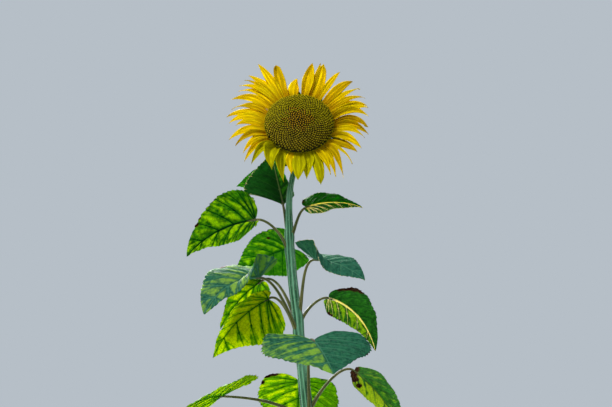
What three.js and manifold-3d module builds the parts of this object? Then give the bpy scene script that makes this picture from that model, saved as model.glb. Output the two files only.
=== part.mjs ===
// A sunflower plant in bloom: stem, leaf stalks, leaf blades and one flower head.
// Millimetres and degrees, +Z up. The origin is the middle of the stem's flat cut at ground level.
// Directions: turn is measured from +X towards +Y, rise is measured up from the level.
import * as THREE from 'three';
import { mergeVertices } from 'three/addons/utils/BufferGeometryUtils.js';
import Module from 'manifold-3d';

const wasm = await Module();
wasm.setup();

// ---- driving dimensions ----

const GAP = 0.4; // clear space between neighbouring pieces

// stem: middle line and radius from the ground to the back of the head
const STEM_SIDES = 12;
const STEM_STEPS = 28;
const ROOT_FLARE = 9;
const ROOT_FLARE_HEIGHT = 32;
const STEM_LINE = [
  { x: 0, y: 0, z: 0, radius: 19 },
  { x: -6, y: 3, z: 250, radius: 18 },
  { x: -22, y: 5, z: 500, radius: 17 },
  { x: -46, y: 4, z: 750, radius: 16 },
  { x: -74, y: 2, z: 990, radius: 14.5 },
  { x: -93, y: 0, z: 1180, radius: 12.5 },
  { x: -109, y: 0, z: 1310, radius: 12 },
  { x: -118, y: 1, z: 1430, radius: 10.5 },
  { x: -118, y: 3, z: 1530, radius: 7.5 },
  { x: -108, y: 10, z: 1600, radius: 7 },
  { x: -97, y: 14, z: 1655, radius: 7.5 },
];
const NECK_RADIUS = 11;

// leaf stalks
const STALK_SIDES = 6;
const STALK_STEPS = 6;
const STALK_FOOT_RADIUS = 6.5;
const STALK_RADIUS = 4;
const STALK_TIP_RADIUS = 3;
const STALK_GAP = 3.8; // from the stalk's end to the middle of the blade
const STALK_SPRING = 1.1; // how strongly the stalk keeps its heading at the foot
const STALK_ARRIVAL = 0.8; // and at the blade

// leaf blades
const BLADE_THICKNESS = 3;
const BLADE_COLUMNS = 8;
const BLADE_ROWS = 2; // on each side of the midrib
const FIRST_VEIN = 1 / 9; // where the blade's edge begins, as a share of it: the hind vein of each ear
const EAR_REACH = 0.2; // share of the edge that the ears' bulge dies away over
const VEIN_FAN = 0.4; // share of the edge that is fed by veins from the base
const ORDINARY_LEAF = {
  rise: 70, // the stalk as it leaves the stem
  swing: 0, // the blade's heading past the stalk's turn
  fold: 5, // each half raised from level
  roll: 0, // the blade turned about its midrib, right half up
  twist: 0, // more roll, gained by the tip
  curl: 0.15, // edges rounded down
  lobe: 0.15, // ears behind the top of the stalk
  ear: 0.045, // how far the ears bulge behind their hind vein
  skew: 0, // right half wider, left half narrower
  cup: 0, // ears raised
  cupSide: 0, // 1 raises the right ear only, -1 the left one only
  cupLong: 0.35, // how far along the blade the ears stay raised
};

// at: height of the stalk's foot. reach and lift: from there to the blade's base.
// dip: the midrib's rise at the base. droop: how far it bends down to the tip.
const UPPER_LEAVES = [
  { at: 1425, turn: 150, reach: 20, lift: 89, rise: 80, swing: -39, dip: 60, droop: 0,
    long: 190, wide: 140, fold: 8, lobe: -0.08, ear: 0.01, skew: -0.45 },
  { at: 1462, turn: 108, reach: 146, lift: 162, swing: 60, dip: -5, droop: 10,
    long: 106, wide: 104, roll: -25 },
  { at: 1385, turn: 180, reach: 92, lift: 84, rise: 75, dip: -6, droop: 46,
    long: 210, wide: 170, fold: 14, roll: -42, curl: 0.1, lobe: 0.02, skew: -0.12, cup: 28 },
  { at: 1425, turn: 338, reach: 50, lift: 73, rise: 60, swing: 20, dip: 20, droop: 42,
    long: 150, wide: 112, fold: 9, roll: -43, curl: 0.1, lobe: 0.06, skew: 0.02 },
  { at: 1378, turn: 92, reach: 68, lift: 30, rise: 60, swing: 58, dip: -5, droop: 28,
    long: 186, wide: 166, fold: 0, cup: 10, roll: -33, lobe: 0.19 },
  { at: 1170, turn: 215, reach: 124, lift: 128, rise: 62, swing: -3, dip: -5, droop: 60,
    long: 200, wide: 182, cup: 56, cupSide: -1, cupLong: 0.4, roll: 33, lobe: 0.34, skew: 0.2 },
  { at: 1200, turn: 132, reach: 152, lift: 126, rise: 62, swing: 50, dip: -34, droop: 34,
    long: 168, wide: 172, fold: 0, cup: 10, roll: -24 },
  { at: 1165, turn: 160, reach: 87, lift: 98, swing: 10, dip: -25, droop: 42,
    long: 215, wide: 174, fold: -25, roll: -38, curl: 0.1, lobe: 0.1, skew: 0.2 },
  { at: 1215, turn: 324, reach: 60, lift: 138, rise: 75, swing: 6, dip: -8, droop: 36,
    long: 160, wide: 132, fold: 0, cup: 48, cupSide: 1, cupLong: 0.4, roll: -29, twist: -16, lobe: 0.42 },
  { at: 1195, turn: 14, reach: 82, lift: 68, swing: 22, dip: -4, droop: 70,
    long: 212, wide: 118, fold: 0, cup: 5, roll: 33, lobe: -0.02, skew: 0.16 },
  { at: 930, turn: 275, reach: 123, lift: 199, swing: 15, dip: -26, droop: 20,
    long: 175, wide: 286, fold: 1, cup: 14, roll: -6, skew: 0.02 },
  { at: 960, turn: 104, reach: 80, lift: 94, rise: 65, swing: -10, dip: -30, droop: 30,
    long: 240, wide: 215, fold: 0, roll: -8 },
  { at: 970, turn: 354, reach: 122, lift: 98, rise: 65, swing: -15, dip: -36, droop: 38,
    long: 230, wide: 100, roll: -40, lobe: -0.03, skew: -0.12 },
  { at: 940, turn: 188, reach: 220, lift: 62, rise: 50, swing: 62, dip: -5, droop: 20,
    long: 240, wide: 240, fold: 0, roll: -27, curl: 0.05 },
];

// the leaves below them follow one another round the stem by the golden angle
const LOWER_LEAF_COUNT = 12;
const LOWER_TOP = 868;
const LOWER_BOTTOM = 250;
const GOLDEN_ANGLE = 137.5;
const FIRST_LOWER_TURN = 40;

// flower head: a shallow bun of florets that faces out and a little up
const HEAD_MIDDLE = new THREE.Vector3(-92, -75, 1706);
const HEAD_TURN = 270;
const HEAD_RISE = 17.5;
const DISC_RADIUS = 93;
const DISC_DOME = 29;
const DISC_EDGE = 8; // depth of the steep rim under the dome
const RECEPTACLE_DEPTH = 52;
const HEAD_SIDES = 24;
const RAY_RING = { inside: 86, outside: 97, thickness: 3 };

// rays, anticlockwise as seen from the front: turn of the foot and of the tip about the head's axis,
// distance of the tip from that axis, and width
const RAY_THICKNESS = 2.4;
const RAY_COLUMNS = 3;
const RAYS = [
  [6, 0, 182, 16], [13, 10, 186, 22], [20, 18, 192, 24], [25, 21, 193, 15], [30, 28, 197, 16],
  [38, 38, 203, 16], [46, 47, 205, 24], [57, 58, 199, 15], [67, 72, 202, 26], [73, 74, 196, 14],
  [81, 80, 192, 26], [99, 92, 152, 26], [112, 107, 207, 24], [118, 120, 212, 22], [123, 129, 208, 21],
  [127, 134, 202, 16], [130, 140, 203, 16], [136, 144, 197, 21], [146, 154, 197, 21], [156, 164, 185, 19],
  [165, 172, 193, 19], [173, 176, 185, 21], [182, 182, 166, 16], [190, 191, 188, 21], [199, 201, 177, 19],
  [206, 210, 168, 16], [212, 219, 181, 16], [219, 226, 177, 16], [230, 245, 165, 34], [244, 257, 174, 22],
  [257, 263, 155, 20], [270, 269, 169, 26], [283, 277, 164, 22], [293, 287, 192, 21], [300, 297, 178, 18],
  [308, 301, 185, 21], [317, 307, 189, 18], [322, 317, 188, 9], [328, 331, 172, 21], [337, 334, 180, 20],
  [348, 347, 176, 18], [357, 353, 183, 18],
];

// looks of the materials
const STEM_GREEN = '#6f9478';
const STALK_GREEN = '#6c7a45';
const LEAF_GREENS = ['#5d9420', '#7fa81c', '#4f8434'];
const BRACT_GREEN = '#4d7a2c';
const FLORET_OLIVE = '#6b5f12';
const RAY_YELLOW = '#f2bd06';

// ---- shared shapes ----

const radians = THREE.MathUtils.degToRad;

function heading(turn, rise) {
  const level = Math.cos(radians(rise));
  return new THREE.Vector3(
    Math.cos(radians(turn)) * level,
    Math.sin(radians(turn)) * level,
    Math.sin(radians(rise)),
  );
}

// the level direction to the right of a heading, as seen from above
function rightOf(turn) {
  return new THREE.Vector3(Math.sin(radians(turn)), -Math.cos(radians(turn)), 0);
}

function geometryOf(corners, triangles) {
  const loose = new THREE.BufferGeometry();
  const numbers = triangles.flatMap((triangle) => triangle.flatMap((i) => corners[i].toArray()));
  loose.setAttribute('position', new THREE.Float32BufferAttribute(numbers, 3));
  const merged = mergeVertices(loose, 1e-4);
  const index = merged.getIndex().array;
  const kept = [];
  for (let i = 0; i < index.length; i += 3) {
    const [a, b, c] = [index[i], index[i + 1], index[i + 2]];
    if (a !== b && b !== c && c !== a) {
      kept.push(a, b, c);
    }
  }
  merged.setIndex(kept);
  return merged;
}

// a solid with rings of corners one after another, and a flat fan at each end
function loft(rings) {
  const sides = rings[0].length;
  const corners = rings.flat();
  const triangles = [];
  for (let ring = 0; ring < rings.length - 1; ring += 1) {
    for (let side = 0; side < sides; side += 1) {
      const next = (side + 1) % sides;
      const [a, b] = [ring * sides + side, ring * sides + next];
      triangles.push([a, b, b + sides], [a, b + sides, a + sides]);
    }
  }
  const last = corners.length - sides;
  for (let side = 1; side < sides - 1; side += 1) {
    triangles.push([0, side + 1, side], [last, last + side, last + side + 1]);
  }
  return geometryOf(corners, triangles);
}

// a ring of corners about a middle, in the plane of two directions
function ringAt(middle, first, second, radius, sides) {
  return Array.from({ length: sides }, (_, side) => {
    const angle = (2 * Math.PI * side) / sides;
    return middle.clone()
      .addScaledVector(first, radius * Math.cos(angle))
      .addScaledVector(second, radius * Math.sin(angle));
  });
}

function solidOf(geometry) {
  const bare = geometry.clone();
  bare.deleteAttribute('normal');
  const vertProperties = Float32Array.from(bare.getAttribute('position').array);
  const triVerts = Uint32Array.from(bare.getIndex().array);
  return new wasm.Manifold(new wasm.Mesh({ numProp: 3, vertProperties, triVerts }));
}

function geometryFrom(solid) {
  const mesh = solid.getMesh();
  const geometry = new THREE.BufferGeometry();
  geometry.setAttribute('position', new THREE.BufferAttribute(mesh.vertProperties, 3));
  geometry.setIndex(Array.from(mesh.triVerts));
  return geometry;
}

function piece(name, geometry, color, roughness) {
  geometry.computeVertexNormals();
  const material = new THREE.MeshStandardMaterial({ color, roughness, metalness: 0, flatShading: true });
  const mesh = new THREE.Mesh(geometry, material);
  mesh.name = name;
  return mesh;
}

// ---- place of the head ----

const headAxis = heading(HEAD_TURN, HEAD_RISE);
const headFrame = new THREE.Matrix4().makeBasis(
  new THREE.Vector3(1, 0, 0),
  new THREE.Vector3().crossVectors(headAxis, new THREE.Vector3(1, 0, 0)),
  headAxis,
).setPosition(HEAD_MIDDLE);

// the stem's line ends square on the back of the head
const neck = HEAD_MIDDLE.clone().addScaledVector(headAxis, -RECEPTACLE_DEPTH - GAP);
const stemLine = [...STEM_LINE, { x: neck.x, y: neck.y, z: neck.z, radius: NECK_RADIUS - 1 }];

// ---- stem ----

// a smooth line through the listed points: share 0 is the ground, 1 is the head
function stemPoint(share) {
  const last = stemLine.length - 1;
  const index = Math.min(Math.floor(share * last), last - 1);
  const f = share * last - index;
  const near = [-1, 0, 1, 2].map((step) => stemLine[THREE.MathUtils.clamp(index + step, 0, last)]);
  const blend = (key) => {
    const [a, b, c, d] = near.map((point) => point[key]);
    return b + 0.5 * f * (c - a + f * (2 * a - 5 * b + 4 * c - d + f * (3 * (b - c) + d - a)));
  };
  const z = blend('z');
  const radius = blend('radius') + ROOT_FLARE * Math.exp(-z / ROOT_FLARE_HEIGHT);
  return { middle: new THREE.Vector3(blend('x'), blend('y'), z), radius };
}

function stemAtHeight(height) {
  let [low, high] = [0, 1];
  for (let halving = 0; halving < 30; halving += 1) {
    const share = (low + high) / 2;
    if (stemPoint(share).middle.z < height) {
      low = share;
    } else {
      high = share;
    }
  }
  return stemPoint(low);
}

// the steps stand closer together in the root flare
function stemGeometry(extra) {
  const across = new THREE.Vector3(1, 0, 0);
  const rings = [];
  for (let step = 0; step <= STEM_STEPS; step += 1) {
    const share = (step / STEM_STEPS) ** 1.25;
    const here = stemPoint(share);
    const before = stemPoint(Math.max(share - 0.004, 0)).middle;
    const after = stemPoint(Math.min(share + 0.004, 1)).middle;
    const along = after.sub(before).normalize();
    if (step === 0) {
      along.set(0, 0, 1);
    }
    if (step === STEM_STEPS) {
      along.copy(headAxis);
    }
    const back = new THREE.Vector3().crossVectors(along, across).normalize();
    rings.push(ringAt(here.middle, across, back, here.radius + extra, STEM_SIDES));
  }
  return loft(rings);
}

// ---- leaves ----

// edge of one half of a blade, as shares of its length and width, from the base (0) to the tip (1)
function edgeShare(u, lobe) {
  return {
    along: u ** 1.65 - lobe * Math.sin(Math.PI * Math.min(u / 0.35, 1)),
    out: 0.5 * Math.max(Math.sin(Math.PI * u ** 0.8), 0) ** 0.8 * (1 - 0.35 * u ** 4),
  };
}

// where the vein that feeds that edge point leaves the midrib
function veinStart(u) {
  return Math.max((u - VEIN_FAN) / (1 - VEIN_FAN), 0) ** 1.6;
}

function bladeBase(leaf) {
  const foot = stemAtHeight(leaf.at).middle;
  return foot.addScaledVector(heading(leaf.turn, 0), leaf.reach).add(new THREE.Vector3(0, 0, leaf.lift));
}

// midrib as a row of places, each with the directions along, right and up
function midribOf(leaf) {
  const steps = 40;
  const turn = leaf.turn + leaf.swing;
  const places = [];
  const middle = bladeBase(leaf);
  for (let step = 0; step <= steps; step += 1) {
    const share = step / steps;
    const along = heading(turn, leaf.dip - leaf.droop * share);
    const level = rightOf(turn);
    const above = new THREE.Vector3().crossVectors(level, along);
    const roll = radians(leaf.roll + leaf.twist * share);
    const right = level.clone().multiplyScalar(Math.cos(roll)).addScaledVector(above, Math.sin(roll));
    const up = above.clone().multiplyScalar(Math.cos(roll)).addScaledVector(level, -Math.sin(roll));
    places.push({ middle: middle.clone(), along, right, up });
    middle.addScaledVector(heading(turn, leaf.dip - leaf.droop * (share + 0.5 / steps)), leaf.long / steps);
  }
  return places;
}

// a point of the blade, x along the midrib and y to the right of it
function bladePoint(leaf, midrib, x, y) {
  const last = midrib.length - 1;
  const place = THREE.MathUtils.clamp(x / leaf.long, 0, 1) * last;
  const index = Math.min(Math.floor(place), last - 1);
  const [a, b] = [midrib[index], midrib[index + 1]];
  const mix = (key) => a[key].clone().lerp(b[key], place - index);
  const [middle, along, right, up] = ['middle', 'along', 'right', 'up'].map(mix);
  const half = leaf.wide / 2;
  const reach = Math.max(x + 0.12 * leaf.long, 0) / (leaf.cupLong * leaf.long);
  const raised = leaf.fold + leaf.cup * (1 + leaf.cupSide * Math.sign(y)) * Math.exp(-reach * reach);
  const out = Math.abs(y);
  const height = out * Math.sin(radians(raised)) - leaf.curl * half * (out / half) ** 2;
  return middle
    .addScaledVector(along, Math.min(x, 0))
    .addScaledVector(right, Math.sign(y) * out * Math.cos(radians(raised)))
    .addScaledVector(up, height);
}

// rows run from the left edge to the right edge, columns from the base to the tip
function bladeGrid(leaf) {
  const midrib = midribOf(leaf);
  const rows = [];
  for (let row = -BLADE_ROWS; row <= BLADE_ROWS; row += 1) {
    const share = Math.abs(row) / BLADE_ROWS;
    const side = Math.sign(row);
    rows.push(Array.from({ length: BLADE_COLUMNS + 1 }, (_, column) => {
      const u = THREE.MathUtils.lerp(FIRST_VEIN, 1, column / BLADE_COLUMNS);
      const edge = edgeShare(u, leaf.lobe);
      const start = veinStart(u);
      const left = Math.max(1 - (u - FIRST_VEIN) / EAR_REACH, 0);
      const bulge = leaf.ear * Math.sin(Math.PI * share) * left ** 2;
      const x = leaf.long * (start + (edge.along - start) * share - bulge);
      const y = side * share * edge.out * leaf.wide * (1 + leaf.skew * side);
      return bladePoint(leaf, midrib, x, y);
    }));
  }
  return rows;
}

// the grid's own directions off its surface, from the faces round each corner
function gridNormals(rows) {
  const normals = rows.map((row) => row.map(() => new THREE.Vector3()));
  for (let i = 0; i < rows.length - 1; i += 1) {
    for (let j = 0; j < rows[0].length - 1; j += 1) {
      const across = rows[i + 1][j + 1].clone().sub(rows[i][j]);
      const back = rows[i][j + 1].clone().sub(rows[i + 1][j]);
      const face = across.cross(back);
      [[i, j], [i + 1, j], [i, j + 1], [i + 1, j + 1]].forEach(([r, c]) => normals[r][c].add(face));
    }
  }
  return normals;
}

// a sheet of even thickness about a grid whose rows all meet at the last column
function sheet(rows, thickness) {
  const normals = gridNormals(rows);
  const last = rows[0].length - 1;
  const shared = new Map();
  const keyOf = (point) => point.toArray().map((value) => value.toFixed(3)).join(' ');
  rows.forEach((row, i) => row.forEach((point, j) => {
    const key = keyOf(point);
    shared.set(key, (shared.get(key) ?? new THREE.Vector3()).add(normals[i][j]));
  }));
  const offset = (point, distance) => {
    const normal = shared.get(keyOf(point)).clone().normalize();
    return point.clone().addScaledVector(normal, distance);
  };
  const columns = last + 1;
  const upper = rows.flat().map((point) => offset(point, thickness / 2));
  const lower = rows.flat().map((point) => offset(point, -thickness / 2));
  const under = upper.length;
  const triangles = [];
  for (let i = 0; i < rows.length - 1; i += 1) {
    for (let j = 0; j < last; j += 1) {
      const [a, b] = [i * columns + j, (i + 1) * columns + j];
      const [c, d] = [b + 1, a + 1];
      triangles.push([a, b, c], [a, c, d]);
      triangles.push([under + a, under + c, under + b], [under + a, under + d, under + c]);
    }
  }
  const right = (rows.length - 1) * columns;
  for (let j = 0; j < last; j += 1) {
    triangles.push([j, j + 1, under + j + 1], [j, under + j + 1, under + j]);
    const k = right + j;
    triangles.push([k, under + k + 1, k + 1], [k, under + k, under + k + 1]);
  }
  for (let i = 0; i < rows.length - 1; i += 1) {
    const [a, b] = [i * columns, (i + 1) * columns];
    triangles.push([b, a, under + a], [b, under + a, under + b]);
  }
  return geometryOf([...upper, ...lower], triangles);
}

// the stalk leaves the stem steeply and arches over into the blade
function stalkGeometry(leaf) {
  const node = stemAtHeight(leaf.at);
  const foot = node.middle.clone().addScaledVector(heading(leaf.turn, 0), 0.5 * node.radius);
  const ahead = heading(leaf.turn + leaf.swing, leaf.dip);
  const tip = bladeBase(leaf).addScaledVector(ahead, -STALK_GAP);
  const span = tip.distanceTo(foot);
  const leave = heading(leaf.turn, leaf.rise).multiplyScalar(STALK_SPRING * span);
  const arrive = ahead.clone().multiplyScalar(STALK_ARRIVAL * span);
  const level = rightOf(leaf.turn + leaf.swing / 2);
  const rings = [];
  for (let step = 0; step <= STALK_STEPS; step += 1) {
    const t = step / STALK_STEPS;
    const middle = foot.clone().multiplyScalar(2 * t ** 3 - 3 * t ** 2 + 1)
      .addScaledVector(leave, t ** 3 - 2 * t ** 2 + t)
      .addScaledVector(tip, 3 * t ** 2 - 2 * t ** 3)
      .addScaledVector(arrive, t ** 3 - t ** 2);
    const along = foot.clone().multiplyScalar(6 * t ** 2 - 6 * t)
      .addScaledVector(leave, 3 * t ** 2 - 4 * t + 1)
      .addScaledVector(tip, 6 * t - 6 * t ** 2)
      .addScaledVector(arrive, 3 * t ** 2 - 2 * t)
      .normalize();
    const up = new THREE.Vector3().crossVectors(level, along).normalize();
    const across = new THREE.Vector3().crossVectors(up, along);
    const swelling = (STALK_FOOT_RADIUS - STALK_RADIUS) * Math.exp(-6 * t);
    const even = THREE.MathUtils.lerp(STALK_RADIUS, STALK_TIP_RADIUS, t) + swelling;
    const radius = step === STALK_STEPS ? BLADE_THICKNESS / 2 : even;
    rings.push(ringAt(middle, across, up, radius, STALK_SIDES));
  }
  return loft(rings);
}

// the leaves below the upper ones: larger lower down, drier and smaller again at the very bottom
function lowerLeaf(index) {
  const share = index / (LOWER_LEAF_COUNT - 1);
  const size = 1 - 0.45 * Math.max(share - 0.55, 0) / 0.45;
  const wobble = Math.sin(2.4 * index + 1);
  return {
    at: THREE.MathUtils.lerp(LOWER_TOP, LOWER_BOTTOM, share),
    turn: (FIRST_LOWER_TURN + GOLDEN_ANGLE * index) % 360,
    reach: (170 + 18 * wobble) * size,
    lift: 62 - 40 * share,
    rise: 58 - 12 * share,
    swing: 8 * Math.sin(1.7 * index),
    dip: -22 - 22 * share + 6 * wobble,
    droop: 38 + 14 * share,
    long: (258 + 14 * wobble) * size,
    wide: (228 - 10 * wobble) * size,
    fold: 4,
    roll: 12 * Math.sin(3.1 * index + 0.5),
    curl: 0.2,
  };
}

// ---- flower head, made about its own axis and then turned to face ----

// a solid turned about the head's axis from a profile of radius and depth, axis to axis
function turned(profile) {
  const points = profile.map(([radius, depth]) => new THREE.Vector2(radius, depth));
  const lathe = new THREE.LatheGeometry(points, HEAD_SIDES);
  lathe.rotateX(Math.PI / 2);
  lathe.deleteAttribute('normal');
  lathe.deleteAttribute('uv');
  const corners = [];
  const position = lathe.getAttribute('position');
  for (let i = 0; i < position.count; i += 1) {
    corners.push(new THREE.Vector3().fromBufferAttribute(position, i));
  }
  const index = lathe.getIndex().array;
  const triangles = [];
  for (let i = 0; i < index.length; i += 3) {
    triangles.push([index[i], index[i + 1], index[i + 2]]);
  }
  return geometryOf(corners, triangles);
}

function discGeometry() {
  const rows = 6;
  const profile = [[0, GAP], [DISC_RADIUS - 5, GAP], [DISC_RADIUS, DISC_EDGE]];
  for (let row = 1; row <= rows; row += 1) {
    const angle = (Math.PI / 2) * (row / rows);
    const radius = DISC_RADIUS * Math.cos(angle);
    profile.push([row === rows ? 0 : radius, DISC_EDGE + (DISC_DOME - DISC_EDGE) * Math.sin(angle)]);
  }
  return turned(profile);
}

function receptacleGeometry() {
  const front = -RAY_RING.thickness - GAP;
  const back = -RECEPTACLE_DEPTH;
  const profile = [[0, back], [NECK_RADIUS, back]];
  const rows = 5;
  for (let row = 1; row <= rows; row += 1) {
    const share = row / rows;
    const radius = THREE.MathUtils.lerp(NECK_RADIUS, DISC_RADIUS - 3, Math.sin((Math.PI / 2) * share) ** 0.9);
    profile.push([radius, THREE.MathUtils.lerp(back + 2, front - 6, share ** 2.2)]);
  }
  profile.push([DISC_RADIUS - 2, front], [0, front]);
  return turned(profile);
}

function rayRing() {
  const { inside, outside, thickness } = RAY_RING;
  const profile = [[inside, 0], [inside, -thickness], [outside, -thickness], [outside, 0], [inside, 0]];
  return turned(profile);
}

// a ray starts out square to the disc's edge and bends to its tip
function rayGeometry([footTurn, tipTurn, tipDistance, width], index) {
  const out = heading(footTurn, 0);
  const side = new THREE.Vector3(-out.y, out.x, 0);
  const foot = out.clone().multiplyScalar(RAY_RING.inside + 4);
  const tip = heading(tipTurn, 0).multiplyScalar(tipDistance);
  const span = tip.clone().sub(foot);
  const layer = [0, 7, -5][index % 3];
  const rows = [-1, 1].map((edge) => Array.from({ length: RAY_COLUMNS + 1 }, (_, column) => {
    const t = column / RAY_COLUMNS;
    const fullness = (0.35 + 0.65 * Math.sin(Math.PI * Math.min(t + 0.12, 1) ** 0.75)) * (1 - t ** 3);
    const breadth = column === RAY_COLUMNS ? 0 : 0.5 * width * fullness;
    return foot.clone()
      .addScaledVector(out, span.dot(out) * t)
      .addScaledVector(side, span.dot(side) * t * t + edge * breadth)
      .add(new THREE.Vector3(0, 0, -RAY_RING.thickness / 2 + layer * t + 5 * t * (1 - t)));
  }));
  const corners = [];
  for (const half of [RAY_THICKNESS / 2, -RAY_THICKNESS / 2]) {
    for (const row of rows) {
      row.forEach((point) => corners.push(point.clone().add(new THREE.Vector3(0, 0, half))));
    }
  }
  const columns = RAY_COLUMNS + 1;
  const under = 2 * columns;
  const triangles = [];
  for (let j = 0; j < RAY_COLUMNS; j += 1) {
    const [a, b, c, d] = [j, j + 1, columns + j + 1, columns + j];
    triangles.push([a, b, c], [a, c, d]);
    triangles.push([under + a, under + c, under + b], [under + a, under + d, under + c]);
    triangles.push([a, under + a, under + b], [a, under + b, b]);
    triangles.push([d, c, under + c], [d, under + c, under + d]);
  }
  triangles.push([0, columns, under + columns], [0, under + columns, under]);
  return geometryOf(corners, triangles);
}

function rayFlorets() {
  const rays = RAYS.map((ray, index) => solidOf(rayGeometry(ray, index)));
  return geometryFrom(rays.reduce((whole, ray) => whole.add(ray), solidOf(rayRing())));
}

// ---- the plant ----

const plant = new THREE.Group();
plant.add(piece('stem', stemGeometry(0), STEM_GREEN, 0.75));

const clearOfStem = solidOf(stemGeometry(GAP));
const lowerLeaves = Array.from({ length: LOWER_LEAF_COUNT }, (_, index) => lowerLeaf(index));
[...UPPER_LEAVES, ...lowerLeaves].forEach((own, index) => {
  const leaf = { ...ORDINARY_LEAF, ...own };
  const number = String(index + 1).padStart(2, '0');
  const rows = bladeGrid(leaf);
  const stalk = solidOf(stalkGeometry(leaf)).subtract(clearOfStem);
  plant.add(piece(`leaf_${number}_stalk`, geometryFrom(stalk), STALK_GREEN, 0.7));
  plant.add(piece(`leaf_${number}_blade`, sheet(rows, BLADE_THICKNESS), LEAF_GREENS[index % 3], 0.6));
});

const head = [
  ['receptacle', receptacleGeometry(), BRACT_GREEN, 0.8],
  ['seed_disc', discGeometry(), FLORET_OLIVE, 0.9],
  ['ray_florets', rayFlorets(), RAY_YELLOW, 0.55],
];
head.forEach(([name, geometry, color, roughness]) => {
  geometry.applyMatrix4(headFrame);
  plant.add(piece(name, geometry, color, roughness));
});

export default plant;
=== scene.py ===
"""A sunflower plant in bloom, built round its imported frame."""
import random
from math import atan2, cos, exp, floor, hypot, pi, radians, sin, sqrt
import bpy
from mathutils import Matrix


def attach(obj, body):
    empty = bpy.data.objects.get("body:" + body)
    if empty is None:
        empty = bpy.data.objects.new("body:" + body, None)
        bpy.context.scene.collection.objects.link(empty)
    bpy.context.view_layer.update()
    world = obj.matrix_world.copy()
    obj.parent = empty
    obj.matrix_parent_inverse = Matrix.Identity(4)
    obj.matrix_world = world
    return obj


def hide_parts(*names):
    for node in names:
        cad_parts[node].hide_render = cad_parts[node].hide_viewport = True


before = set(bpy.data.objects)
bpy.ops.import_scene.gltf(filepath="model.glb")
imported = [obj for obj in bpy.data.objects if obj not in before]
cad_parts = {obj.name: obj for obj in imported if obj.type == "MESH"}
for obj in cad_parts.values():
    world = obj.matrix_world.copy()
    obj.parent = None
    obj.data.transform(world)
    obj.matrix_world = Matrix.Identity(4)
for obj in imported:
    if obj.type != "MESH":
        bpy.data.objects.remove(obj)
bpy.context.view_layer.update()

from types import SimpleNamespace

import bmesh
import bpy
from mathutils import Matrix, Vector, noise

# Lengths in the making of each piece are millimetres, angles are degrees, and a piece is scaled to metres last.
# Turn runs from +X towards +Y, and rise runs up from the level.
MM = 0.001

# ---- how the plant grows ----

# the stem's middle line and radius, from the ground up
STEM_LINE = [
    (0, 0, 0, 19), (-6, 3, 250, 18), (-22, 5, 500, 17), (-46, 4, 750, 16), (-74, 2, 990, 14.5),
    (-93, 0, 1180, 12.5), (-109, 0, 1310, 12), (-118, 1, 1430, 10.5), (-118, 3, 1530, 7.5),
    (-108, 10, 1600, 7), (-97, 14, 1655, 7.5),
]
ROOT_FLARE = 9
ROOT_FLARE_HEIGHT = 32
NECK_RADIUS = 10

HALVINGS = 30  # steps that find the stem's share at a height

STALK_FOOT_RADIUS = 6.5
STALK_RADIUS = 4
STALK_TIP_RADIUS = 3

VEIN_FAN = 0.4  # share of a blade's edge fed by veins from the base
FIRST_VEIN = 1 / 9  # where the blade's edge begins, as a share of it: the hind vein of each ear
EAR_REACH = 0.2  # share of the edge that the ears' bulge behind their hind vein dies away over
LOBE_REACH = 0.35  # share of the edge that the lobe beside the stalk takes up
CUP_BEHIND = 0.12  # how far behind the stalk the cup of a blade is deepest, as a share of its length
MIDRIB_STEPS = 40

# How a leaf grows unless its row says otherwise. The stalk leaves the stem at the rise. The blade swings on from the
# stalk's turn, dips where it begins, is folded, rolled and twisted along its midrib, and is cupped near the stalk,
# where cup_side -1 or 1 means one half only. lobe and ear draw its base back, and skew widens one half.
ORDINARY_LEAF = dict(
    rise=70, swing=0, fold=5, roll=0, twist=0, curl=0.15, lobe=0.15, ear=0.045, skew=0,
    cup=0, cup_side=0, cup_long=0.35,
)


def grow(at, turn, reach, lift, droop, long, wide, **own):
    """A leaf joined to the stem at a height and turn. Its blade begins at a reach and lift from there, and droops."""
    own.update(at=at, turn=turn, reach=reach, lift=lift, droop=droop, long=long, wide=wide)
    return SimpleNamespace(**{**ORDINARY_LEAF, **own})


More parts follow.
